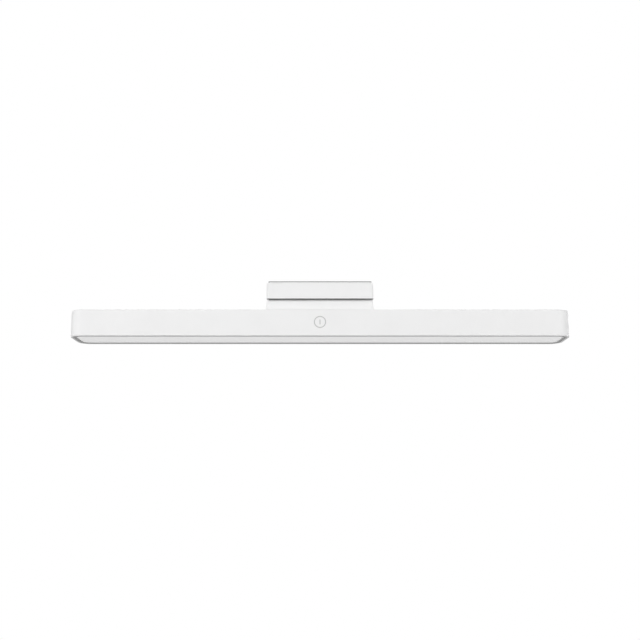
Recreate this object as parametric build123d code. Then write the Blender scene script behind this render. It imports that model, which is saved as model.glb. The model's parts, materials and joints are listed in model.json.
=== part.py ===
from build123d import *
import os

# A slim light bar that hangs under a shelf from a magnetic mount at its top centre.
# Millimetres. +X runs along the bar, -Y is the front, +Z is up.
# The origin is the centre of the adhesive face, at the very top.

# ---- Driving dimensions: what is seen from outside ---------------------------------

total_height = 40.4

bar_length = 350.0
bar_depth = 36.5
bar_height = 18.6
bar_corner_radius = 8.75
bar_top_round = 0.5
bar_bottom_round = 0.4
wall = 1.8

adhesive_thickness = 0.35
plate_thickness = 0.85
plate_length = 73.4
plate_depth = 21.0
plate_corner_radius = 1.6
plate_chamfer = 0.15

block_length = 76.0
block_depth = 23.0
block_height = 11.5
block_corner_radius = 2.2
block_draft = 1.5
block_round = 0.5
block_wall = 1.6
block_top_wall = 1.2

hump_radius = 10.8
hump_length = 76.0
hump_end_draft = 7.0
hump_end_wall = 2.4
hump_end_round = 0.9
hump_cove = 3.2
hump_axis_over_bar = 3.4
tilt_limit = 30.0

rim_width = 3.7
lip_thickness = 1.2
diffuser_recess = 0.5

mark_height = 9.7
mark_ring_radius = 4.2
mark_stroke = 0.62
mark_bar_length = 3.6
mark_depth = 0.3

# ---- Driving dimensions: head --------------------------------------------------------

cradle_clearance = 0.4
cover_flange = 0.25
cover_flange_inset = 0.2
cover_chamfer = 0.1
cover_clearance = 0.1
magnet_length = 18.0
magnet_depth = 12.0
magnet_thickness = 3.2
magnet_pitch = 20.0
magnet_chamfer = 0.3
rib_length = 56.0
rib_thickness = 0.8
rib_gap = 0.2
bracket_thickness = 1.2
bracket_length = 70.0
bracket_depth = 18.6
bracket_corner_radius = 1.5
finger_offset = 22.0
finger_width = 7.0
finger_depth = 3.0
finger_clearance = 0.25
finger_side_clearance = 0.4
finger_room_reach = 2.0
finger_room_steps = 3
eye_radius = 3.8
pin_radius = 2.0
pin_length = 14.4
pin_chamfer = 0.3
head_screw_x = 32.6
head_screw_y = 7.2
head_boss_radius = 2.8
head_screw_radius = 1.0
head_screw_grip = 3.0
counterbore_radius = 2.0
counterbore_leaves = 0.9

# ---- Driving dimensions: the lamp's side of the hinge --------------------------------

pin_running_clearance = 0.1
washer_clearance = 0.2
sleeve_wall = 0.5
washer_thickness = 0.3
washer_radius = 3.6
lug_width = 3.2
lug_radius = 4.2
lug_half_depth = 3.6
carrier_drop = 2.2
carrier_thickness = 1.6
carrier_half_length = 33.5
carrier_half_depth = 13.2
carrier_corner_radius = 2.0
pin_window_half_length = 13.0
pin_window_half_depth = 5.0
pin_window_corner_radius = 1.0
carrier_screw_x = 30.5
carrier_screw_y = 10.9
carrier_screw_radius = 1.2
carrier_screw_grip = 4.2
carrier_boss_radius = 2.5

# ---- Driving dimensions: screws --------------------------------------------------------

screw_head_radius = 1.8
screw_head_height = 1.2
flat_head_height = 0.9
small_head_radius = 1.6
small_head_height = 0.9
head_round_share = 0.4
drive_depth_share = 0.5
drive_width_share = 0.5
drive_length_share = 1.1
screw_clearance = 0.1
tip_clearance = 0.4

# ---- Driving dimensions: underside and light source --------------------------------------

assembly_gap = 0.1
bezel_upstand = 2.6
bezel_wall = 0.8
diffuser_flange = 0.8
diffuser_gap = 0.2
snap_xs = (-150.0, -90.0, -30.0, 30.0, 90.0, 150.0)
snap_length = 8.0
snap_height = 1.0
snap_depth = 0.5
snap_over_bar_bottom = 2.5
snap_clearance = 0.15
tray_wall = 0.6
tray_half_length = 164.2
tray_top_half_depth = 7.2
tray_foot_half_depth = 12.8
tray_slot_half_depth = 2.4
tray_slot_half_length = 163.5
led_count = 48
led_pitch = 6.8
led_length = 3.5
led_width = 2.8
led_height = 0.7
led_board_half_length = 170.0
led_board_half_depth = 6.0
led_board_corner_radius = 1.0
led_screw_x = 166.5
board_thickness = 1.0

# ---- Driving dimensions: chassis, cells and electronics ------------------------------------

chassis_top_height = 9.1
chassis_thickness = 1.2
chassis_inset = 3.4
chassis_boss_x = (46.0, 140.0)
chassis_boss_y = 11.8
chassis_boss_radius = 2.6
chassis_screw_radius = 1.1
chassis_screw_grip = 5.0
battery_x = (50.0, 136.0)
battery_half_depth = 13.8
battery_thickness = 6.0
battery_round = 1.4
pad_thickness = 0.6
pad_half_width = 9.0
pad_shares = (0.22, 0.78)
main_board_x = (144.0, 170.6)
main_board_half_depth = 13.0
main_board_height = 13.0
main_board_thickness = 1.2
main_board_corner_radius = 4.5
board_screw_points = ((147.5, -10.4), (147.5, 10.4), (164.0, -10.4), (164.0, 10.4))
board_screw_radius = 0.9
board_screw_grip = 3.6
board_boss_radius = 2.1
connector_half_length = 2.5
connector_depth = 4.0
connector_height = 2.45
socket_half_width = 4.47
socket_height = 3.2
socket_round = 1.5
socket_mouth_round = 1.2
socket_clearance = 0.25
socket_wall = 0.35
socket_back = 1.6
socket_x = (166.0, 174.4)
tongue_half_width = 3.3
tongue_half_height = 0.35
tongue_setback = 1.2
light_pipe_radius = 0.9
light_pipe_length = 3.8
light_pipe_y = 8.0
lead_radius = 0.5
lead_heights_over_bar_bottom = (14.9, 16.1)
lead_bend_radius = 1.4
left_lead_y = 5.0
left_lead_turn_x = -41.6
back_run_y = 15.2
lead_board_x = 153.5
lead_board_y = 12.0
right_lead_y = -4.0
right_lead_end_x = 146.0
led_lead_x = 156.2
led_lead_ys = (-1.6, -0.2)
electrode_thickness = 0.25
electrode_half_width = 7.0
electrode_half_height = 4.6
electrode_tail_start = 6.0
electrode_tail_end = 150.0
electrode_tail_height = 3.2

# Chips, a coil and capacitors: x, y, length, depth and height of each.
board_part_sizes = (
    (152.0, -4.5, 5.0, 5.0, 0.9),
    (152.0, 4.0, 6.0, 6.0, 2.6),
    (160.0, -5.5, 4.0, 4.0, 0.8),
    (158.5, 2.0, 2.0, 1.25, 0.8),
    (158.5, 5.5, 2.0, 1.25, 0.8),
    (147.0, 0.0, 1.6, 0.8, 0.6))

# ---- Levels and radii, worked out from the dimensions above --------------------------------

bar_bottom = -total_height
bar_top = bar_bottom + bar_height
interior_top = bar_top - wall
plate_top = -adhesive_thickness
block_top = plate_top - plate_thickness
block_bottom = block_top - block_height
axis_height = bar_top + hump_axis_over_bar
head_interior_top = block_top - block_top_wall
magnet_bottom = head_interior_top - magnet_thickness
bracket_bottom = magnet_bottom - bracket_thickness
cover_bottom = block_bottom - cover_flange
cradle_radius = hump_radius + cradle_clearance
carrier_top = interior_top - carrier_drop
carrier_bottom = carrier_top - carrier_thickness
sleeve_radius = pin_radius + pin_running_clearance + sleeve_wall
chassis_top = bar_bottom + chassis_top_height
chassis_bottom = chassis_top - chassis_thickness
led_board_bottom = chassis_bottom - board_thickness
tray_top = led_board_bottom - assembly_gap
diffuser_bottom = bar_bottom + diffuser_recess
flange_bottom = bar_bottom + lip_thickness
flange_top = flange_bottom + diffuser_flange
snap_low = bar_bottom + snap_over_bar_bottom
mark_centre = bar_bottom + mark_height
battery_top = interior_top - pad_thickness
main_board_bottom = bar_bottom + main_board_height
main_board_top = main_board_bottom + main_board_thickness
socket_centre_z = main_board_bottom - socket_height / 2
lead_heights = [bar_bottom + height for height in lead_heights_over_bar_bottom]
beyond = bar_length
tolerance = 0.001


# ---- Small shape helpers -----------------------------------------------------------

def box_between(low, high):
    """Axis-aligned box from its low corner to its high corner."""
    size = [b - a for a, b in zip(low, high)]
    centre = [(a + b) / 2 for a, b in zip(low, high)]
    return Pos(*centre) * Box(*size)


def slab(length, depth, corner_radius, low, high):
    """Rounded rectangle centred on the Z axis, from height low to height high."""
    outline = Plane.XY.offset(low) * RectangleRounded(length, depth, corner_radius)
    return extrude(outline, high - low)


def inset_slab(inset, low, high):
    """Slab whose outline is the bar's outline moved inwards."""
    length = bar_length - 2 * inset
    depth = bar_depth - 2 * inset
    return slab(length, depth, bar_corner_radius - inset, low, high)


def post(radius, x, y, low, high):
    """Vertical cylinder."""
    return Pos(x, y, (low + high) / 2) * Cylinder(radius, high - low)


def rod(radius, x_low, x_high, y, z):
    """Cylinder along X."""
    return Pos((x_low + x_high) / 2, y, z) * Rot(0, 90, 0) * Cylinder(radius, x_high - x_low)


def edges_at_height(shape, height):
    """Edges that lie wholly in one horizontal plane."""
    return shape.edges().filter_by_position(Axis.Z, height - tolerance, height + tolerance)


def screw(radius, length, head_radius, head_height, x, y, seat):
    """Pan-head screw driven upwards, whose head bears on the height seat."""
    shank = post(radius, x, y, seat, seat + length)
    head_low = seat - head_height
    head = post(head_radius, x, y, head_low, seat)
    head = fillet(edges_at_height(head, head_low), head_height * head_round_share)
    slot_depth = head_height * drive_depth_share
    slot_width = radius * drive_width_share
    slot_length = head_radius * drive_length_share
    slot = Pos(x, y, head_low + slot_depth / 2)
    cross = slot * Box(slot_length, slot_width, slot_depth)
    cross += slot * Box(slot_width, slot_length, slot_depth)
    return shank + head - cross


def grid(xs, ys):
    """All pairs of the given positions."""
    return [(x, y) for x in xs for y in ys]


def side_spans(offset, width):
    """The left and right stretches along X that are centred at the given offset."""
    return [(side * offset - width / 2, side * offset + width / 2) for side in (-1, 1)]


def tube(outer, inner, spans):
    """Short tubes along the hinge axis, one for each stretch."""
    return [
        rod(outer, low, high, 0, axis_height) - rod(inner, low, high, 0, axis_height)
        for low, high in spans]


# ---- Places of repeated features -------------------------------------------------------

head_screw_points = grid((-head_screw_x, head_screw_x), (-head_screw_y, head_screw_y))
carrier_screw_points = grid(
    (-carrier_screw_x, carrier_screw_x), (-carrier_screw_y, carrier_screw_y))
chassis_screw_points = grid(
    [side * x for x in chassis_boss_x for side in (-1, 1)], (-chassis_boss_y, chassis_boss_y))
finger_spans = side_spans(finger_offset, finger_width)
washer_spans = [
    span for side in (-1, 1) for span in side_spans(
        finger_offset + side * (finger_width + washer_thickness) / 2, washer_thickness)]
lug_spans = [
    span for side in (-1, 1) for span in side_spans(
        finger_offset + side * (finger_width / 2 + washer_thickness + lug_width / 2), lug_width)]


# ---- Plate that stays on the shelf -----------------------------------------------

def make_adhesive_pad():
    return slab(plate_length, plate_depth, plate_corner_radius, plate_top, 0)


def make_steel_plate():
    plate = slab(plate_length, plate_depth, plate_corner_radius, block_top, plate_top)
    return chamfer(edges_at_height(plate, block_top), plate_chamfer)


# ---- Head: the block that clings to the plate ------------------------------------

def make_head_housing():
    outline = Plane.XY.offset(block_bottom) * RectangleRounded(
        block_length, block_depth, block_corner_radius)
    shell = extrude(outline, block_height, taper=block_draft)
    shell = fillet(edges_at_height(shell, block_top), block_round)
    shell = fillet(edges_at_height(shell, block_bottom), block_round)
    shell -= slab(
        block_length - 2 * block_wall, block_depth - 2 * block_wall,
        block_corner_radius - block_wall / 2, block_bottom, head_interior_top)
    for x, y in head_screw_points:
        shell += post(head_boss_radius, x, y, magnet_bottom, head_interior_top)
        shell -= post(head_screw_radius, x, y, magnet_bottom, magnet_bottom + head_screw_grip)
    for side in (-1, 1):
        rib_y = side * (magnet_depth / 2 + rib_gap + rib_thickness / 2)
        shell += box_between(
            (-rib_length / 2, rib_y - rib_thickness / 2, magnet_bottom + rib_gap),
            (rib_length / 2, rib_y + rib_thickness / 2, head_interior_top))
    shell -= rod(cradle_radius, -block_length, block_length, 0, axis_height)
    return shell


def make_head_magnets():
    magnets = []
    for index in (-1, 0, 1):
        magnet = box_between(
            (-magnet_length / 2, -magnet_depth / 2, magnet_bottom),
            (magnet_length / 2, magnet_depth / 2, head_interior_top))
        magnet = chamfer(magnet.edges(), magnet_chamfer)
        magnets.append(Pos(index * magnet_pitch, 0, 0) * magnet)
    return magnets


def make_hinge_bracket():
    """Steel plate behind the magnets, with a finger down to each hinge pin."""
    bracket = slab(
        bracket_length, bracket_depth, bracket_corner_radius, bracket_bottom, magnet_bottom)
    for low, high in finger_spans:
        bracket += box_between(
            (low, -finger_depth / 2, axis_height), (high, finger_depth / 2, bracket_bottom))
        bracket += rod(eye_radius, low, high, 0, axis_height)
    for low, high in finger_spans:
        bracket -= rod(pin_radius, low, high, 0, axis_height)
    for x, y in head_screw_points:
        bracket -= post(head_screw_radius + screw_clearance, x, y, bracket_bottom, magnet_bottom)
    return bracket


def make_cradle_cover():
    """Closes the block from below with a dark rim, and is hollowed to the lamp's hump."""
    cover = slab(
        block_length - 2 * cover_flange_inset, block_depth - 2 * cover_flange_inset,
        block_corner_radius - cover_flange_inset, cover_bottom, block_bottom)
    cover = chamfer(edges_at_height(cover, cover_bottom), cover_chamfer)
    cover += slab(
        block_length - 2 * (block_wall + cover_clearance),
        block_depth - 2 * (block_wall + cover_clearance),
        block_corner_radius - block_wall / 2, block_bottom, bracket_bottom)
    cover -= rod(cradle_radius, -block_length / 2, block_length / 2, 0, axis_height)
    for low, high in side_spans(finger_offset, finger_width + 2 * finger_clearance):
        half = finger_depth / 2 + finger_clearance
        cover -= box_between((low, -half, cover_bottom), (high, half, bracket_bottom))
    for x, y in head_screw_points:
        cover -= post(head_screw_radius + screw_clearance, x, y, cover_bottom, bracket_bottom)
        cover -= post(
            counterbore_radius, x, y, cover_bottom,
            bracket_bottom - counterbore_leaves)
    return cover


def make_head_screws():
    seat = bracket_bottom - counterbore_leaves
    length = counterbore_leaves + bracket_thickness + head_screw_grip - tip_clearance
    return [
        screw(head_screw_radius, length, screw_head_radius, flat_head_height, x, y, seat)
        for x, y in head_screw_points]


def make_hinge_pins():
    pins = []
    for low, high in side_spans(finger_offset, pin_length):
        pin = rod(pin_radius, low, high, 0, axis_height)
        pins.append(chamfer(pin.edges().filter_by(GeomType.CIRCLE), pin_chamfer))
    return pins


# ---- Lamp: hinge side --------------------------------------------------------------

def make_hinge_carrier():
    """Cast plate under the hump, with a pair of lugs astride each finger."""
    carrier = slab(
        2 * carrier_half_length, 2 * carrier_half_depth, carrier_corner_radius, carrier_bottom,
        carrier_top)
    for low, high in lug_spans:
        carrier += box_between(
            (low, -lug_half_depth, carrier_bottom),
            (high, lug_half_depth, axis_height))
        carrier += rod(lug_radius, low, high, 0, axis_height)
    carrier -= slab(
        2 * pin_window_half_length, 2 * pin_window_half_depth, pin_window_corner_radius,
        carrier_bottom, carrier_top)
    for low, high in lug_spans:
        carrier -= rod(sleeve_radius, low, high, 0, axis_height)
    for x, y in carrier_screw_points:
        carrier -= post(carrier_screw_radius + screw_clearance, x, y, carrier_bottom, carrier_top)
    return carrier


def make_friction_sleeves():
    return tube(sleeve_radius, pin_radius + pin_running_clearance, lug_spans)


def make_friction_washers():
    return tube(washer_radius, pin_radius + washer_clearance, washer_spans)


def make_carrier_screws():
    length = carrier_thickness + carrier_screw_grip - tip_clearance
    return [
        screw(carrier_screw_radius, length, screw_head_radius, screw_head_height, x, y,
              carrier_bottom)
        for x, y in carrier_screw_points]


# ---- Lamp: housing -----------------------------------------------------------------

def socket_prism(half_width, height, corner_radius, x_low, x_high):
    """Rounded prism along X on the centre line of the charging socket."""
    profile = Plane.YZ.offset(x_low) * Pos(0, socket_centre_z) * RectangleRounded(
        2 * half_width, height, corner_radius)
    return extrude(profile, x_high - x_low)


def make_hump():
    """Long rounded hump on top of the bar: a half cylinder on straight sides."""
    half = hump_length / 2 + hump_end_round
    profile = Plane.YZ.offset(-half) * (
        Pos(0, axis_height) * Circle(hump_radius)
        - Pos(0, axis_height - hump_radius) * Rectangle(2 * hump_radius, 2 * hump_radius)
        + Pos(0, (axis_height + interior_top) / 2)
        * Rectangle(2 * hump_radius, axis_height - interior_top))
    hump = extrude(profile, 2 * half)
    for side in (-1, 1):
        cutter = Pos(side * hump_radius, 0, 0) * Box(
            2 * hump_radius, 4 * hump_radius, 4 * hump_radius)
        leaning = Rot(0, -side * hump_end_draft, 0) * cutter
        hump -= Pos(side * hump_length / 2, 0, axis_height) * leaning
    rims = [
        edge for edge in hump.edges()
        if edge.geom_type != GeomType.LINE or abs(edge.center().X) > hump_length / 2
        and abs(abs(edge.center().Y) - hump_radius) < tolerance]
    return fillet(rims, hump_end_round)


def finger_room():
    """Slots in the hump that let the fingers swing over the whole tilt range."""
    reach = hump_radius + finger_room_reach
    width = finger_width + 2 * finger_side_clearance
    half_depth = finger_depth / 2 + finger_clearance
    room = None
    for low, high in side_spans(finger_offset, width):
        stem = box_between((low, -half_depth, 0), (high, half_depth, reach))
        for step in range(-finger_room_steps, finger_room_steps + 1):
            angle = step * tilt_limit / finger_room_steps
            swung = Pos(0, 0, axis_height) * Rot(angle, 0, 0) * stem
            room = swung if room is None else room + swung
    return room


def make_lamp_housing():
    shell = inset_slab(0, bar_bottom, bar_top)
    shell = fillet(edges_at_height(shell, bar_bottom), bar_bottom_round)
    shell = fillet(edges_at_height(shell, bar_top), bar_top_round)
    shell += make_hump()
    foot = [
        edge for edge in edges_at_height(shell, bar_top)
        if abs(edge.center().X) < hump_length / 2 + hump_radius / 2
        and abs(edge.center().Y) < hump_radius + tolerance]
    shell = fillet(foot, hump_cove)
    shell -= inset_slab(wall, bar_bottom, interior_top)
    inner_half = hump_length / 2 - hump_end_wall
    inner_radius = hump_radius - wall
    shell -= rod(inner_radius, -inner_half, inner_half, 0, axis_height)
    shell -= box_between(
        (-inner_half, -inner_radius, interior_top), (inner_half, inner_radius, axis_height))
    shell -= finger_room()

    # Bosses for the hinge carrier.
    for x, y in carrier_screw_points:
        shell += post(carrier_boss_radius, x, y, carrier_top, interior_top)
        shell -= post(carrier_screw_radius, x, y, carrier_top, carrier_top + carrier_screw_grip)

    # Bosses for the chassis plate and the main board.
    for x, y in chassis_screw_points:
        shell += post(chassis_boss_radius, x, y, chassis_top, interior_top)
        shell -= post(chassis_screw_radius, x, y, chassis_top, chassis_top + chassis_screw_grip)
    for x, y in board_screw_points:
        shell += post(board_boss_radius, x, y, main_board_top, interior_top)
        shell -= post(board_screw_radius, x, y, main_board_top, main_board_top + board_screw_grip)

    # Snap pockets for the bezel.
    for x in snap_xs:
        for side in (-1, 1):
            inner = side * (bar_depth / 2 - wall - assembly_gap)
            outer = side * (bar_depth / 2 - wall + snap_depth + snap_clearance)
            shell -= box_between(
                (x - snap_length / 2 - snap_clearance, min(inner, outer), snap_low - snap_clearance),
                (x + snap_length / 2 + snap_clearance, max(inner, outer),
                 snap_low + snap_height + snap_clearance))

    # Openings in the right-hand end, and the recess for the touch mark.
    shell -= socket_prism(
        socket_half_width + socket_clearance, socket_height + 2 * socket_clearance,
        socket_round, bar_length / 2 - 2 * wall, beyond)
    shell -= rod(
        light_pipe_radius, bar_length / 2 - 2 * wall, beyond, light_pipe_y, socket_centre_z)
    for piece in make_touch_mark():
        shell -= piece
    return shell


def make_touch_mark():
    """Ring and short upright bar, inlaid flush in the front face."""
    front = -bar_depth / 2
    face = Plane(origin=(0, front, mark_centre), x_dir=(1, 0, 0), z_dir=(0, -1, 0))
    ring = Circle(mark_ring_radius) - Circle(mark_ring_radius - mark_stroke)
    upright = SlotOverall(mark_bar_length, mark_stroke, rotation=90)
    return [extrude(face * ring, -mark_depth), extrude(face * upright, -mark_depth)]


# ---- Lamp: underside -----------------------------------------------------------------

def make_bottom_bezel():
    outer = wall + assembly_gap
    ring = inset_slab(outer, bar_bottom, flange_bottom + bezel_upstand)
    ring -= inset_slab(outer + bezel_wall, flange_bottom, flange_bottom + bezel_upstand)
    ring -= inset_slab(rim_width, bar_bottom, flange_bottom)
    for x in snap_xs:
        for side in (-1, 1):
            root = side * (bar_depth / 2 - outer - bezel_wall / 2)
            tip = side * (bar_depth / 2 - wall + snap_depth)
            ring += box_between(
                (x - snap_length / 2, min(root, tip), snap_low),
                (x + snap_length / 2, max(root, tip), snap_low + snap_height))
    return ring


def make_diffuser():
    flange = inset_slab(wall + assembly_gap + bezel_wall + diffuser_gap, flange_bottom, flange_top)
    window = inset_slab(rim_width + diffuser_gap, diffuser_bottom, flange_bottom)
    return flange + window


def tray_prism(top_half, foot_half, half_length, low, high):
    """Straight prism along X that is wider at its foot than at its top."""
    profile = Plane.YZ.offset(-half_length) * make_face(Polyline(
        (-foot_half, low), (foot_half, low), (top_half, high), (-top_half, high), close=True))
    return extrude(profile, 2 * half_length)


def make_reflector_tray():
    tray = tray_prism(
        tray_top_half_depth, tray_foot_half_depth, tray_half_length, flange_top, tray_top)
    tray -= tray_prism(
        tray_top_half_depth - tray_wall, tray_foot_half_depth - tray_wall,
        tray_half_length - tray_wall, flange_top, tray_top - tray_wall)
    tray -= box_between(
        (-tray_slot_half_length, -tray_slot_half_depth, tray_top - 2 * tray_wall),
        (tray_slot_half_length, tray_slot_half_depth, tray_top))
    return tray


def make_led_board():
    board = slab(
        2 * led_board_half_length, 2 * led_board_half_depth, led_board_corner_radius,
        led_board_bottom, chassis_bottom)
    for side in (-1, 1):
        board -= post(
            board_screw_radius + screw_clearance, side * led_screw_x, 0, led_board_bottom,
            chassis_bottom)
    return board


def make_leds():
    leds = []
    first = -(led_count - 1) / 2 * led_pitch
    for index in range(led_count):
        x = first + index * led_pitch
        leds.append(box_between(
            (x - led_length / 2, -led_width / 2, led_board_bottom - led_height),
            (x + led_length / 2, led_width / 2, led_board_bottom)))
    return leds


# ---- Lamp: chassis, cells and electronics ------------------------------------------

def make_chassis_plate():
    plate = inset_slab(chassis_inset, chassis_bottom, chassis_top)
    for y in led_lead_ys:
        plate -= post(2 * lead_radius, led_lead_x, y, chassis_bottom, chassis_top)
    for x, y in chassis_screw_points:
        plate -= post(chassis_screw_radius + screw_clearance, x, y, chassis_bottom, chassis_top)
    for side in (-1, 1):
        plate -= post(board_screw_radius, side * led_screw_x, 0, chassis_bottom, chassis_top)
    return plate


def make_chassis_screws():
    length = chassis_thickness + chassis_screw_grip - tip_clearance
    return [
        screw(chassis_screw_radius, length, screw_head_radius, screw_head_height, x, y,
              chassis_bottom)
        for x, y in chassis_screw_points]


def make_led_board_screws():
    length = board_thickness + chassis_thickness
    return [
        screw(board_screw_radius, length, small_head_radius, small_head_height,
              side * led_screw_x, 0, led_board_bottom)
        for side in (-1, 1)]


def make_battery(side):
    x_low, x_high = sorted(side * x for x in battery_x)
    cell = box_between(
        (x_low, -battery_half_depth, battery_top - battery_thickness),
        (x_high, battery_half_depth, battery_top))
    return fillet(cell.edges().filter_by(Axis.X), battery_round)


def make_battery_pads():
    pads = []
    for side in (-1, 1):
        for share in pad_shares:
            x = side * (battery_x[0] + share * (battery_x[1] - battery_x[0]))
            pads.append(box_between(
                (x - pad_half_width, -pad_half_width, battery_top),
                (x + pad_half_width, pad_half_width, interior_top)))
    return pads


def make_main_board():
    board = box_between(
        (main_board_x[0], -main_board_half_depth, main_board_bottom),
        (main_board_x[1], main_board_half_depth, main_board_top))
    far_corners = board.edges().filter_by(Axis.Z).group_by(Axis.X)[-1]
    board = fillet(far_corners, main_board_corner_radius)
    for x, y in board_screw_points:
        board -= post(
            board_screw_radius + screw_clearance, x, y, main_board_bottom, main_board_top)
    return board


def make_board_parts():
    """Chips, a coil and capacitors on the underside of the main board."""
    return [
        box_between(
            (x - length / 2, y - depth / 2, main_board_bottom - height),
            (x + length / 2, y + depth / 2, main_board_bottom))
        for x, y, length, depth, height in board_part_sizes]


def make_board_screws():
    length = main_board_thickness + board_screw_grip - tip_clearance
    return [
        screw(board_screw_radius, length, small_head_radius, small_head_height, x, y,
              main_board_bottom)
        for x, y in board_screw_points]


def make_board_connectors():
    top = main_board_top + connector_height
    return [
        box_between(
            (lead_board_x - connector_half_length, lead_board_y - connector_depth, main_board_top),
            (lead_board_x + connector_half_length, lead_board_y, top)),
        box_between(
            (right_lead_end_x, right_lead_y - connector_half_length, main_board_top),
            (right_lead_end_x + connector_depth, right_lead_y + connector_half_length, top))]


def make_left_battery_lead():
    """Two wires from the left cell, round the hinge pocket and along the back wall."""
    wires = []
    for height in lead_heights:
        route = FilletPolyline(
            (-battery_x[0], left_lead_y, height), (left_lead_turn_x, left_lead_y, height),
            (left_lead_turn_x, back_run_y, height), (lead_board_x, back_run_y, height),
            (lead_board_x, lead_board_y, height), radius=lead_bend_radius)
        wires.append(sweep(Plane(route @ 0, z_dir=route % 0) * Circle(lead_radius), route))
    return wires


def make_right_battery_lead():
    return [
        rod(lead_radius, battery_x[1], right_lead_end_x, right_lead_y, height)
        for height in lead_heights]


def make_led_lead():
    return [
        post(lead_radius, led_lead_x, y, chassis_bottom, main_board_bottom) for y in led_lead_ys]


def make_charging_socket():
    shell = socket_prism(
        socket_half_width, socket_height, socket_round, socket_x[0], socket_x[1])
    shell -= socket_prism(
        socket_half_width - socket_wall, socket_height - 2 * socket_wall, socket_mouth_round,
        socket_x[0] + socket_back, socket_x[1])
    return shell


def make_socket_tongue():
    """Moulded tongue that stands in the mouth of the charging socket."""
    return box_between(
        (socket_x[0] + socket_back, -tongue_half_width, socket_centre_z - tongue_half_height),
        (socket_x[1] - tongue_setback, tongue_half_width, socket_centre_z + tongue_half_height))


def make_status_light_pipe():
    end = bar_length / 2
    return rod(light_pipe_radius, end - light_pipe_length, end, light_pipe_y, socket_centre_z)


def make_touch_electrode():
    """Flexible circuit on the inside of the front wall: a pad and a tail to the board."""
    outer = -bar_depth / 2 + wall
    inner = outer + electrode_thickness
    pad_top = mark_centre + electrode_half_height
    pad = box_between(
        (-electrode_half_width, outer, mark_centre - electrode_half_height),
        (electrode_half_width, inner, pad_top))
    tail = box_between(
        (electrode_tail_start, outer, pad_top - electrode_tail_height),
        (electrode_tail_end, inner, pad_top))
    return pad + tail


# ---- Write one STEP file per node ----------------------------------------------------------

nodes = {
    "adhesive_pad": make_adhesive_pad(),
    "steel_plate": make_steel_plate(),
    "head_housing": make_head_housing(),
    "head_magnets": make_head_magnets(),
    "cradle_cover": make_cradle_cover(),
    "hinge_bracket": make_hinge_bracket(),
    "hinge_pins": make_hinge_pins(),
    "head_screws": make_head_screws(),
    "hinge_carrier": make_hinge_carrier(),
    "friction_sleeves": make_friction_sleeves(),
    "friction_washers": make_friction_washers(),
    "carrier_screws": make_carrier_screws(),
    "lamp_housing": make_lamp_housing(),
    "touch_mark": make_touch_mark(),
    "bottom_bezel": make_bottom_bezel(),
    "diffuser": make_diffuser(),
    "reflector_tray": make_reflector_tray(),
    "led_board": make_led_board(),
    "leds": make_leds(),
    "chassis_plate": make_chassis_plate(),
    "chassis_screws": make_chassis_screws(),
    "led_board_screws": make_led_board_screws(),
    "left_battery": make_battery(-1),
    "right_battery": make_battery(1),
    "battery_pads": make_battery_pads(),
    "main_board": make_main_board(),
    "board_parts": make_board_parts(),
    "board_screws": make_board_screws(),
    "board_connectors": make_board_connectors(),
    "left_battery_lead": make_left_battery_lead(),
    "right_battery_lead": make_right_battery_lead(),
    "led_lead": make_led_lead(),
    "charging_socket": make_charging_socket(),
    "socket_tongue": make_socket_tongue(),
    "status_light_pipe": make_status_light_pipe(),
    "touch_electrode": make_touch_electrode(),
}

os.makedirs("parts", exist_ok=True)
for name, shape in nodes.items():
    if isinstance(shape, list):
        shape = Compound(children=[piece.solid() for piece in shape])
    export_step(shape, f"parts/{name}.step")
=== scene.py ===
import json
import math

import bpy
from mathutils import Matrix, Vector


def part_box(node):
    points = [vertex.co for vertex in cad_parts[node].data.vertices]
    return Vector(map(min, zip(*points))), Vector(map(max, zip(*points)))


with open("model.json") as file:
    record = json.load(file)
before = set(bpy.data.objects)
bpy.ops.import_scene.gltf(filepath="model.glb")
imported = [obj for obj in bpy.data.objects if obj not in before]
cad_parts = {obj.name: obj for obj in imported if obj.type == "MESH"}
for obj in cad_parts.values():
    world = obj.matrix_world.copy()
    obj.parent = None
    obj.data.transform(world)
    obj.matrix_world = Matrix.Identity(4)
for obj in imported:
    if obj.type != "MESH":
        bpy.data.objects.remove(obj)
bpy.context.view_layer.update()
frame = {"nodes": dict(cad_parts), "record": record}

# A slim white light bar that hangs from a magnetic block. Metres; +X along the bar,
# -Y is the front, +Z is up, and the origin is on the adhesive face at the very top.

bar_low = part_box("lamp_housing")[0]

# ---- Driving values --------------------------------------------------------------------

# Camera: its lens in millimetres, how far it is from the bar's bottom front edge, how far
# below the horizontal it stands, seen from there, and how far up it looks.
FOCAL_LENGTH = 56.25
SENSOR_WIDTH = 36.0
CAMERA_DISTANCE = 0.6944
CAMERA_CLIMB = math.radians(9.81)
CAMERA_PITCH = math.radians(10.707)

# Floor: how far it lies below the bar, half its side, and how much light it gives back.
FLOOR_DROP = 0.8
FLOOR_HALF = 4.0
FLOOR_SHADE = 0.8

# Surroundings: their brightness at the horizon and straight overhead.
HORIZON_STRENGTH = 0.92
ZENITH_STRENGTH = 0.05

# Soft lights that all face the bar: name, place, width, height and power in watts.
LIGHTS = [
    ("key", (-1.3, -1.0, 0.25), 1.6, 1.0, 9.6),
    ("fill", (1.3, -1.0, 0.25), 1.0, 1.0, 5.6),
    ("top", (0.0, -1.4, 1.25), 1.8, 1.2, 10.8),
    ("rear", (0.9, 1.3, 0.5), 1.6, 1.0, 8.5)]

# Repeats that materials follow: LEDs on their board, lines moulded into the window, and
# rings in the wires' insulation.
LED_PITCH = 0.0068
LED_WELL_REACH = 0.002
WINDOW_LINE_PITCH = 0.0006
WIRE_RING_PITCH = 0.0009

# Emission strength on the window: painted light that brightens it, as the lamp inside is
# off.
WINDOW_PAINTED_GLOW = 0.28
MICRON = 0.000001

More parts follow.
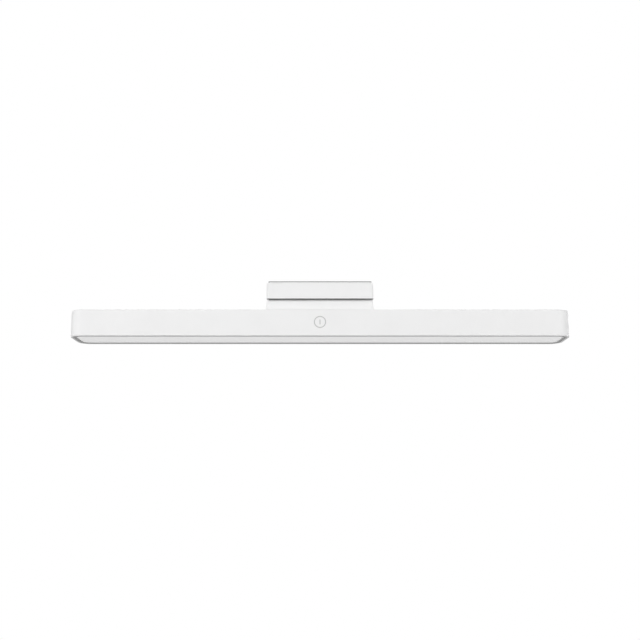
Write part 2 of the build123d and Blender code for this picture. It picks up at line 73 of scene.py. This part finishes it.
# Grain directions for stretched textures: a smaller number draws the grain out along
# that axis.
ALONG_BAR = (1.0, 40.0, 40.0)
ALONG_SCRATCHES = (0.4, 9.0, 9.0)
ROUND_PIN = (30.0, 2.0, 2.0)
ALONG_SCREW = (8.0, 8.0, 1.0)
EVEN_CRINKLE = (6.0, 6.0, 6.0)


# ---- Camera ----------------------------------------------------------------------------

def make_camera():
    """Looks up at the bar from in front and a little below it."""
    bottom_edge = Vector((0.0, bar_low.y, bar_low.z))
    sight = Vector((0.0, math.cos(CAMERA_CLIMB), math.sin(CAMERA_CLIMB)))
    data = bpy.data.cameras.new("camera")
    data.lens = FOCAL_LENGTH
    data.sensor_width = SENSOR_WIDTH
    camera = bpy.data.objects.new("camera", data)
    camera.location = bottom_edge - CAMERA_DISTANCE * sight
    camera.rotation_euler = (math.pi / 2 + CAMERA_PITCH, 0.0, 0.0)
    bpy.context.scene.collection.objects.link(camera)
    bpy.context.scene.camera = camera


# ---- Floor, surroundings and lights ------------------------------------------------------

def seen_white(tree, shader, shader_type):
    """White to the eye, while the given shader lights the object."""
    path = tree.nodes.new("ShaderNodeLightPath")
    mix = tree.nodes.new("ShaderNodeMixShader")
    white = tree.nodes.new(shader_type)
    white.inputs["Color"].default_value = (1.0, 1.0, 1.0, 1.0)
    white.inputs["Strength"].default_value = 1.0
    tree.links.new(path.outputs["Is Camera Ray"], mix.inputs[0])
    tree.links.new(shader.outputs[0], mix.inputs[1])
    tree.links.new(white.outputs[0], mix.inputs[2])
    return mix.outputs[0]


def make_world():
    """Pale surroundings that are brighter at the horizon than overhead."""
    world = bpy.data.worlds.new("studio")
    bpy.context.scene.world = world
    world.use_nodes = True
    tree = world.node_tree
    tree.nodes.clear()
    place = tree.nodes.new("ShaderNodeTexCoord")
    split = tree.nodes.new("ShaderNodeSeparateXYZ")
    fade = tree.nodes.new("ShaderNodeMapRange")
    fade.inputs["To Min"].default_value = HORIZON_STRENGTH
    fade.inputs["To Max"].default_value = ZENITH_STRENGTH
    background = tree.nodes.new("ShaderNodeBackground")
    out = tree.nodes.new("ShaderNodeOutputWorld")
    tree.links.new(place.outputs["Generated"], split.inputs[0])
    tree.links.new(split.outputs["Z"], fade.inputs["Value"])
    tree.links.new(fade.outputs["Result"], background.inputs["Strength"])
    seen = seen_white(tree, background, "ShaderNodeBackground")
    tree.links.new(seen, out.inputs["Surface"])


def make_floor_material():
    material = bpy.data.materials.new("pale_floor")
    material.use_nodes = True
    tree = material.node_tree
    tree.nodes.clear()
    out = tree.nodes.new("ShaderNodeOutputMaterial")
    diffuse = tree.nodes.new("ShaderNodeBsdfDiffuse")
    diffuse.inputs["Color"].default_value = (FLOOR_SHADE, FLOOR_SHADE, FLOOR_SHADE, 1.0)
    seen = seen_white(tree, diffuse, "ShaderNodeEmission")
    tree.links.new(seen, out.inputs["Surface"])
    return material


def make_floor():
    """A wide pale floor, far enough down for a camera that looks up from under the bar."""
    z = bar_low.z - FLOOR_DROP
    corners = [(-FLOOR_HALF, -FLOOR_HALF, z), (FLOOR_HALF, -FLOOR_HALF, z),
               (FLOOR_HALF, FLOOR_HALF, z), (-FLOOR_HALF, FLOOR_HALF, z)]
    mesh = bpy.data.meshes.new("floor")
    mesh.from_pydata(corners, [], [(0, 1, 2, 3)])
    mesh.materials.append(make_floor_material())
    floor = bpy.data.objects.new("floor", mesh)
    bpy.context.scene.collection.objects.link(floor)


def make_lights():
    bar_middle = Vector((0.0, 0.0, bar_low.z))
    for name, place, width, height, power in LIGHTS:
        data = bpy.data.lights.new(name, "AREA")
        data.shape = "RECTANGLE"
        data.size = width
        data.size_y = height
        data.energy = power
        light = bpy.data.objects.new(name, data)
        light.location = place
        aim = bar_middle - Vector(place)
        light.rotation_euler = aim.to_track_quat("-Z", "Y").to_euler()
        bpy.context.scene.collection.objects.link(light)


# ---- Building a material -----------------------------------------------------------------

class Tree:
    """A material with one Principled shader, and short calls to build its nodes.

    Scales are in features per metre, and the depth of relief is in metres."""

    def __init__(self, name, colour, roughness, metallic=0.0):
        self.slot = name
        self.material = bpy.data.materials.new(name)
        self.material.use_nodes = True
        self.nodes = self.material.node_tree.nodes
        self.links = self.material.node_tree.links
        self.shader = self.nodes["Principled BSDF"]
        self.shader.inputs["Base Color"].default_value = (*colour, 1.0)
        self.shader.inputs["Roughness"].default_value = roughness
        self.shader.inputs["Metallic"].default_value = metallic
        self.place = self.nodes.new("ShaderNodeTexCoord").outputs["Object"]
        self.surface = None

    def set(self, **values):
        """Constants on the shader's own sockets, with _ for a space in a socket's name."""
        for socket, value in values.items():
            self.shader.inputs[socket.replace("_", " ")].default_value = value

    def feed(self, socket, source):
        self.links.new(source, self.shader.inputs[socket])

    def stretched(self, stretch):
        mapping = self.nodes.new("ShaderNodeMapping")
        mapping.inputs["Scale"].default_value = stretch
        self.links.new(self.place, mapping.inputs["Vector"])
        return mapping.outputs["Vector"]

    def noise(self, scale, detail=3.0, roughness=0.55, stretch=None):
        texture = self.nodes.new("ShaderNodeTexNoise")
        texture.inputs["Scale"].default_value = scale
        texture.inputs["Detail"].default_value = detail
        texture.inputs["Roughness"].default_value = roughness
        self.links.new(self.stretched(stretch) if stretch else self.place,
                       texture.inputs["Vector"])
        return texture.outputs["Fac"]

    def cells(self, scale, feature="F1"):
        texture = self.nodes.new("ShaderNodeTexVoronoi")
        texture.feature = feature
        texture.inputs["Scale"].default_value = scale
        self.links.new(self.place, texture.inputs["Vector"])
        return texture.outputs["Distance"]

    def axis(self, letter):
        """Position along one axis, in metres."""
        split = self.nodes.new("ShaderNodeSeparateXYZ")
        self.links.new(self.place, split.inputs[0])
        return split.outputs[letter]

    def math(self, operation, first, second=0.0):
        node = self.nodes.new("ShaderNodeMath")
        node.operation = operation
        for socket, value in zip(node.inputs, (first, second)):
            if isinstance(value, float):
                socket.default_value = value
            else:
                self.links.new(value, socket)
        return node.outputs[0]

    def repeat(self, letter, pitch, offset=0.5):
        """Distance from the middle of each repeat, from 0 to 0.5 of the pitch."""
        turns = self.math("ADD", self.math("DIVIDE", self.axis(letter), pitch), offset)
        return self.math("ABSOLUTE", self.math("SUBTRACT", self.math("FRACT", turns), 0.5))

    def ramp(self, source, low, high, start=0.3, end=0.7):
        """Values or colours from low to high as source goes from start to end."""
        node = self.nodes.new("ShaderNodeValToRGB")
        node.color_ramp.elements[0].position = start
        node.color_ramp.elements[1].position = end
        for element, value in zip(node.color_ramp.elements, (low, high)):
            colour = value if isinstance(value, tuple) else (value, value, value)
            element.color = (*colour, 1.0)
        self.links.new(source, node.inputs["Fac"])
        return node.outputs["Color"]

    def lines(self, letter, pitch):
        """Ridges across one axis, from 0 in the middle of each repeat to 1 between them."""
        return self.ramp(self.repeat(letter, pitch), 0.0, 1.0, start=0.0, end=0.5)

    def mixed(self, share, first, second):
        """The first colour where share is 0, the second where it is 1."""
        node = self.nodes.new("ShaderNodeMix")
        node.data_type = "RGBA"
        self.links.new(share, node.inputs[0])
        for socket, value in ((node.inputs[6], first), (node.inputs[7], second)):
            if isinstance(value, tuple):
                socket.default_value = (*value, 1.0)
            else:
                self.links.new(value, socket)
        return node.outputs[2]

    def bump(self, source, depth, strength=1.0):
        """Adds relief on top of what is there already."""
        node = self.nodes.new("ShaderNodeBump")
        node.inputs["Strength"].default_value = strength
        node.inputs["Distance"].default_value = depth
        self.links.new(source, node.inputs["Height"])
        if self.surface:
            self.links.new(self.surface, node.inputs["Normal"])
        self.surface = node.outputs["Normal"]
        self.links.new(self.surface, self.shader.inputs["Normal"])


def grey(level):
    return (level, level, level)


def tinted(colour, share):
    return tuple(min(1.0, channel * share) for channel in colour)


# ---- Kinds of material -------------------------------------------------------------------

def moulded_plastic(name, colour, roughness, depth=30 * MICRON):
    """Moulded part with a fine spark-eroded texture, flow marks and faint cloudiness."""
    tree = Tree(name, colour, roughness)
    cloud = tree.noise(scale=38.0, detail=4.0)
    fleck = tree.noise(scale=1500.0, detail=2.0)
    body = tree.ramp(cloud, tinted(colour, 0.985), tinted(colour, 1.01))
    flecked = tree.ramp(fleck, 0.0, 0.35, start=0.55, end=0.8)
    tree.feed("Base Color", tree.mixed(flecked, body, tinted(colour, 0.97)))
    patch = tree.noise(scale=150.0, detail=5.0)
    tree.feed("Roughness", tree.ramp(patch, roughness - 0.05, roughness + 0.05))
    flow_marks = tree.noise(scale=24.0, detail=1.0)
    tree.bump(flow_marks, depth=30 * MICRON, strength=0.5)
    spark_texture = tree.noise(scale=2400.0, detail=3.0)
    tree.bump(spark_texture, depth, strength=0.8)
    tree.set(IOR=1.47)
    return tree


def brushed_metal(name, colour, roughness, along=ALONG_BAR, wear=0.1):
    """Rolled or drawn metal with a grain, dull patches and a few fine scratches."""
    tree = Tree(name, colour, roughness, metallic=1.0)
    grain = tree.noise(scale=900.0, detail=3.0, stretch=along)
    patch = tree.noise(scale=90.0, detail=4.0)
    grain_dullness = tree.ramp(grain, roughness - 0.08, roughness + 0.04)
    worn_dullness = tree.ramp(patch, 0.0, wear)
    tree.feed("Roughness", tree.math("ADD", grain_dullness, worn_dullness))
    tree.feed("Base Color", tree.ramp(grain, tinted(colour, 0.9), tinted(colour, 1.05)))
    tree.bump(grain, depth=8 * MICRON)
    streaks = tree.noise(scale=260.0, detail=6.0, roughness=0.7, stretch=ALONG_SCRATCHES)
    scratches = tree.ramp(streaks, 1.0, 0.0, start=0.62, end=0.66)
    tree.bump(scratches, depth=6 * MICRON, strength=0.4)
    return tree


def closed_foam(name, colour):
    """Foam whose cut edge shows its cells."""
    tree = Tree(name, colour, roughness=0.85)
    cells = tree.cells(scale=3200.0)
    dark, pale = tinted(colour, 0.7), tinted(colour, 1.5)
    tree.feed("Base Color", tree.ramp(cells, dark, pale, start=0.1, end=0.8))
    tree.bump(cells, depth=60 * MICRON)
    lumps = tree.noise(scale=600.0)
    tree.bump(lumps, depth=30 * MICRON, strength=0.5)
    tree.set(IOR=1.4)
    return tree


def painted_steel(name, colour):
    """Powder-coated sheet with a slight orange peel."""
    tree = Tree(name, colour, roughness=0.42)
    peel = tree.noise(scale=700.0, detail=1.5)
    tree.bump(peel, depth=20 * MICRON)
    grit = tree.noise(scale=4000.0, detail=1.0)
    tree.bump(grit, depth=6 * MICRON, strength=0.5)
    patch = tree.noise(scale=60.0, detail=4.0)
    tree.feed("Roughness", tree.ramp(patch, 0.36, 0.5))
    tree.feed("Base Color", tree.ramp(patch, tinted(colour, 0.98), tinted(colour, 1.02)))
    return tree


def frosted_window(name):
    """Opal sheet with fine moulded lines, and a faint emission that paints light onto the
    unlit window.
    """
    tree = Tree(name, grey(0.93), roughness=0.38)
    haze = tree.noise(scale=45.0, detail=3.0)
    tree.feed("Base Color", tree.ramp(haze, grey(0.92), grey(0.95)))
    patch = tree.noise(scale=220.0, detail=4.0)
    tree.feed("Roughness", tree.ramp(patch, 0.34, 0.44))
    frost = tree.noise(scale=2600.0, detail=2.0)
    tree.bump(frost, depth=10 * MICRON)
    tree.bump(tree.lines("X", WINDOW_LINE_PITCH), depth=8 * MICRON, strength=0.4)
    # Painted light: a faint emission brightens the unlit window.
    tree.set(Emission_Color=(1.0, 1.0, 1.0, 1.0), Emission_Strength=WINDOW_PAINTED_GLOW)
    return tree


def light_source_body(name):
    """White package with a yellow phosphor well in the middle of each one."""
    package, phosphor = (0.93, 0.93, 0.9), (0.95, 0.72, 0.16)
    tree = Tree(name, package, roughness=0.35)
    along = tree.math("MULTIPLY", tree.repeat("X", LED_PITCH, offset=0.0), LED_PITCH)
    across = tree.math("ABSOLUTE", tree.axis("Y"))
    from_middle = tree.math("MAXIMUM", along, across)
    reach = tree.math("DIVIDE", from_middle, LED_WELL_REACH)
    tree.feed("Base Color", tree.ramp(reach, phosphor, package, start=0.52, end=0.56))
    rim = tree.ramp(reach, 0.0, 1.0, start=0.5, end=0.58)
    tree.bump(rim, depth=100 * MICRON)
    tree.bump(tree.noise(scale=3000.0), depth=10 * MICRON)
    return tree


def printed_board(name, mask, trace, scale):
    """Solder mask over copper traces, with plated holes."""
    plating = (0.75, 0.62, 0.32)
    tree = Tree(name, mask, roughness=0.3)
    bricks = tree.nodes.new("ShaderNodeTexBrick")
    bricks.inputs["Scale"].default_value = scale
    bricks.inputs["Mortar Size"].default_value = 0.035
    tree.links.new(tree.place, bricks.inputs["Vector"])
    tracks = tree.mixed(bricks.outputs["Fac"], mask, trace)
    holes = tree.ramp(tree.cells(scale=420.0), 1.0, 0.0, start=0.1, end=0.13)
    tree.feed("Base Color", tree.mixed(holes, tracks, plating))
    tree.bump(bricks.outputs["Fac"], depth=20 * MICRON)
    tree.bump(tree.noise(scale=1800.0), depth=8 * MICRON, strength=0.4)
    tree.set(Coat_Weight=0.3, Coat_Roughness=0.2)
    return tree


def pouch_foil(name):
    """Laminated foil of a flat cell, softly crinkled."""
    tree = brushed_metal(name, (0.72, 0.72, 0.73), 0.34, along=EVEN_CRINKLE)
    swell = tree.noise(scale=120.0, detail=3.0)
    tree.bump(swell, depth=250 * MICRON, strength=0.5)
    creases = tree.cells(scale=260.0, feature="SMOOTH_F1")
    tree.bump(creases, depth=60 * MICRON, strength=0.4)
    return tree


def cast_metal(name, colour):
    """Die casting with a dull, slightly blotchy skin."""
    tree = Tree(name, colour, roughness=0.5, metallic=1.0)
    grain = tree.noise(scale=1400.0, detail=5.0, roughness=0.7)
    tree.feed("Base Color", tree.ramp(grain, tinted(colour, 0.8), tinted(colour, 1.1)))
    patch = tree.noise(scale=160.0, detail=4.0)
    tree.feed("Roughness", tree.ramp(patch, 0.42, 0.62))
    tree.bump(grain, depth=40 * MICRON)
    return tree


def insulated_wire(name):
    """Soft red insulation with faint rings from the extruder."""
    tree = moulded_plastic(name, (0.45, 0.02, 0.02), 0.38)
    tree.bump(tree.lines("X", WIRE_RING_PITCH), depth=10 * MICRON, strength=0.4)
    tree.set(Sheen_Weight=0.1)
    return tree


def clear_pipe(name):
    """Clear moulding that carries light to the surface."""
    tree = moulded_plastic(name, grey(0.9), 0.15, depth=4 * MICRON)
    tree.set(Transmission_Weight=0.6, Coat_Weight=0.2)
    return tree


# ---- The record's material slots ---------------------------------------------------------

def make_materials():
    """One material for every slot in the record."""
    made = [
        moulded_plastic("white_shell", grey(0.9), 0.5),
        # The bezel's mid grey is painted shade: it darkens the down-facing rim round the
        # window.
        moulded_plastic("grey_bezel", grey(0.48), 0.5),
        moulded_plastic("grey_inlay", grey(0.54), 0.4),
        # The cover's near black is painted shade: it darkens the seam line under the block.
        moulded_plastic("cover_plastic", grey(0.06), 0.5),
        moulded_plastic("washer_nylon", (0.85, 0.83, 0.77), 0.45),
        moulded_plastic("reflector", grey(0.93), 0.6),
        moulded_plastic("connector_body", (0.85, 0.82, 0.72), 0.45),
        moulded_plastic("chip", grey(0.03), 0.4, depth=20 * MICRON),
        closed_foam("foam_tape", grey(0.03)),
        closed_foam("foam_pad", grey(0.06)),
        painted_steel("keeper_steel", grey(0.78)),
        frosted_window("frosted_window"),
        light_source_body("led_body"),
        printed_board("board_metal", (0.86, 0.86, 0.84), (0.78, 0.78, 0.76), scale=90.0),
        printed_board("circuit_board", (0.02, 0.14, 0.05), (0.04, 0.24, 0.1), scale=320.0),
        printed_board("flex_circuit", (0.42, 0.2, 0.04), (0.6, 0.32, 0.1), scale=240.0),
        pouch_foil("cell_foil"),
        cast_metal("cast_zinc", (0.5, 0.5, 0.51)),
        insulated_wire("lead_cover"),
        clear_pipe("light_pipe"),
        brushed_metal("bracket_steel", (0.6, 0.6, 0.61), 0.35),
        brushed_metal("chassis_metal", (0.68, 0.68, 0.69), 0.4),
        brushed_metal("magnet", (0.7, 0.69, 0.67), 0.16, wear=0.06),
        brushed_metal("pin_steel", (0.6, 0.6, 0.61), 0.2, along=ROUND_PIN),
        brushed_metal("screw_steel", (0.5, 0.5, 0.51), 0.3, along=ALONG_SCREW),
        brushed_metal("sleeve_brass", (0.72, 0.55, 0.28), 0.3, along=ROUND_PIN),
        brushed_metal("socket_steel", (0.68, 0.68, 0.69), 0.25)]
    return {tree.slot: tree.material for tree in made}


def dress_nodes(materials):
    """Gives every CAD node the procedural material of its slot."""
    for part in frame["record"]["subparts"]:
        mesh = frame["nodes"][part["node"]].data
        mesh.materials.clear()
        mesh.materials.append(materials[part["material_slot"]])


bpy.context.scene.view_settings.view_transform = "Standard"
make_camera()
make_world()
make_floor()
make_lights()
dress_nodes(make_materials())
